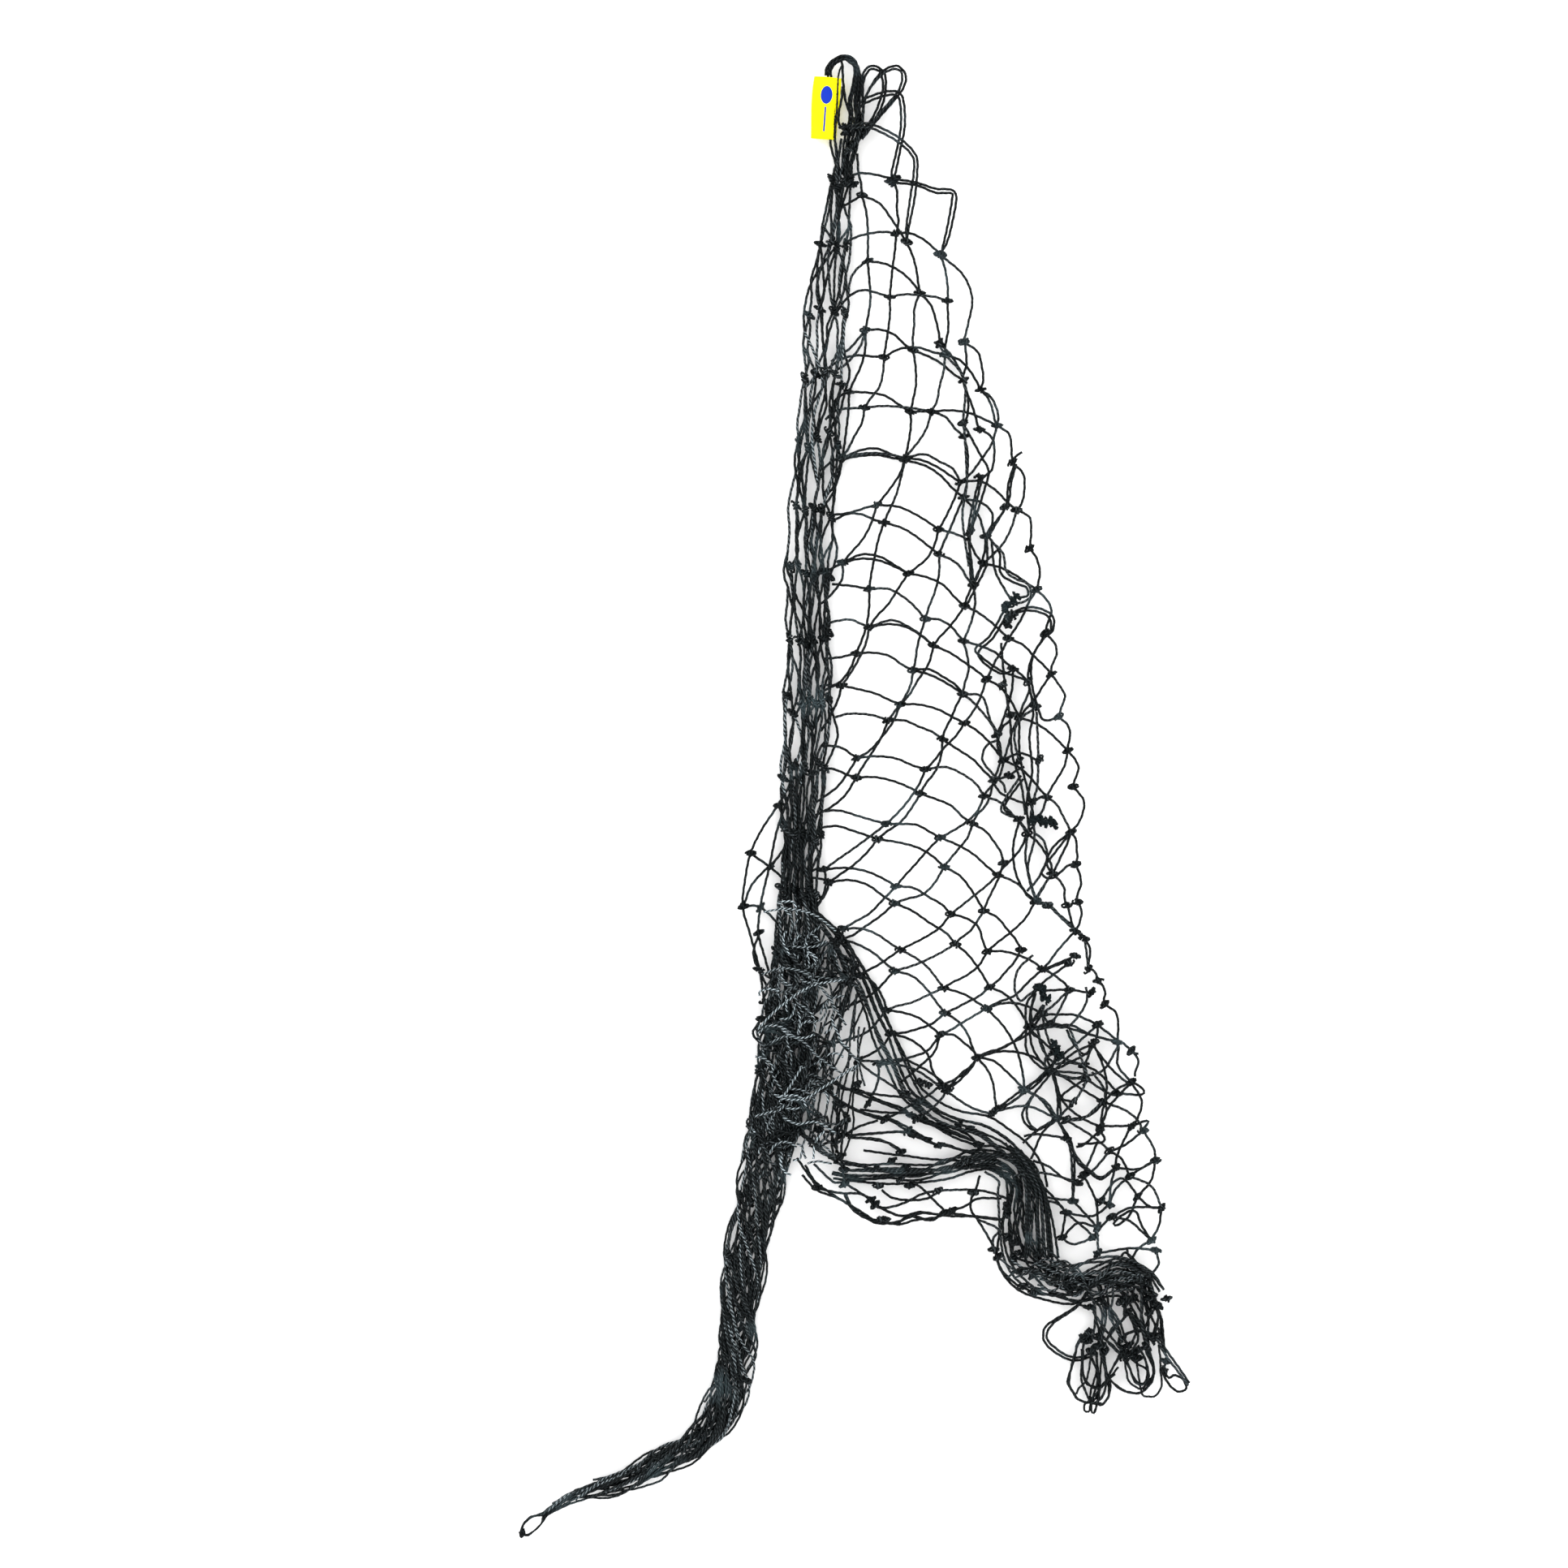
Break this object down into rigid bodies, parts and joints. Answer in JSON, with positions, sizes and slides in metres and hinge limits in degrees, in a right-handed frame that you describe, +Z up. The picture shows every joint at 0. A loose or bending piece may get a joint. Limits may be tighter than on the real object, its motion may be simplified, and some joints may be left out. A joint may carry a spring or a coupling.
{
  "type": "hay net",
  "caption": "Knotted twine bag net lying flat, gathered at the mouth into hanging loops, one side spread open, with a twisted tail and a folded cloth label.",
  "frame": {"origin": "centre of the net's footprint, on the surface that it lies on", "axes": "+Y towards the hanging loops at the mouth, +Z up from the surface, +X towards the open side of the net"},
  "size_m": [0.4125, 0.9139, 0.0197],
  "materials": {
    "twine": "laid twine, slightly glossy, near black with a slate sheen",
    "doubled_twine": "two or more strands of the same twine side by side",
    "lashing": "tightly wrapped dark thread, matt",
    "label": "smooth coated cloth, bright yellow, satin",
    "stitching": "fine yellow thread, matt"
  },
  "bodies": {
    "netting": {"neck_binding": "twine", "side_gather_upper": "twine", "side_gather_middle": "twine", "side_gather_lower": "twine", "tangle_heap": "twine", "inner_fold": "twine", "swag_shoulder": "twine", "swag": "twine", "corner_gather": "twine", "back_netting_upper": "twine", "front_netting_upper": "twine", "back_netting_middle": "twine", "front_netting_middle": "twine", "back_netting_lower": "twine", "front_netting_lower": "twine", "back_netting_corner": "twine", "front_netting_corner": "twine", "side_bulge": "twine", "side_fold_upper": "twine", "side_fold_lower": "twine", "mouth_loop_short": "doubled_twine", "mouth_loop_long": "doubled_twine", "mouth_loop_square": "doubled_twine", "seam_lashing_top": "lashing", "seam_lashing_middle": "lashing", "seam_lashing_lower": "lashing", "seam_lashing_bottom": "lashing"},
    "hanging_loops": {"hanging_loop_main": "doubled_twine", "hanging_loop_second": "doubled_twine", "hanging_loop_third": "doubled_twine", "label_strand": "twine"},
    "label": {"label": "label", "label_stitching": "stitching"},
    "tail": {"tail_upper": "twine"},
    "tail_tip": {"tail_lower": "twine", "tail_eye": "twine"},
    "end_loop_first": {"end_loop_first": "doubled_twine"},
    "end_loop_second": {"end_loop_second": "doubled_twine"},
    "end_loop_third": {"end_loop_third": "doubled_twine"},
    "end_loop_fourth": {"end_loop_fourth": "doubled_twine"}
  },
  "joints": [
    {"name": "hanging_loops_swing", "type": "hinge", "parent": "netting", "child": "hanging_loops", "pos_m": [-0.002, 0.404, 0.002], "axis": [0, 0, 1], "range_deg": [-6, 20]},
    {"name": "label_slide", "type": "slide", "parent": "hanging_loops", "child": "label", "axis": [0.0699, 0.9976, 0], "range_m": [-0.003, 0.002]},
    {"name": "tail_swing", "type": "hinge", "parent": "netting", "child": "tail", "pos_m": [-0.054, -0.226, 0.002], "axis": [0, 0, 1], "range_deg": [-45, 25]},
    {"name": "tail_tip_swing", "type": "hinge", "parent": "tail", "child": "tail_tip", "pos_m": [-0.086, -0.388, 0.002], "axis": [0, 0, 1], "range_deg": [-50, 50]},
    {"name": "end_loop_first_swing", "type": "hinge", "parent": "netting", "child": "end_loop_first", "pos_m": [0.139, -0.314, 0.002], "axis": [0, 0, 1], "range_deg": [-20, 20]},
    {"name": "end_loop_second_swing", "type": "hinge", "parent": "netting", "child": "end_loop_second", "pos_m": [0.151, -0.339, 0.002], "axis": [0, 0, 1], "range_deg": [-20, 12]},
    {"name": "end_loop_third_swing", "type": "hinge", "parent": "netting", "child": "end_loop_third", "pos_m": [0.172, -0.338, 0.002], "axis": [0, 0, 1], "range_deg": [-12, 12]},
    {"name": "end_loop_fourth_swing", "type": "hinge", "parent": "netting", "child": "end_loop_fourth", "pos_m": [0.189, -0.328, 0.002], "axis": [0, 0, 1], "range_deg": [-10, 25]}
  ]
}
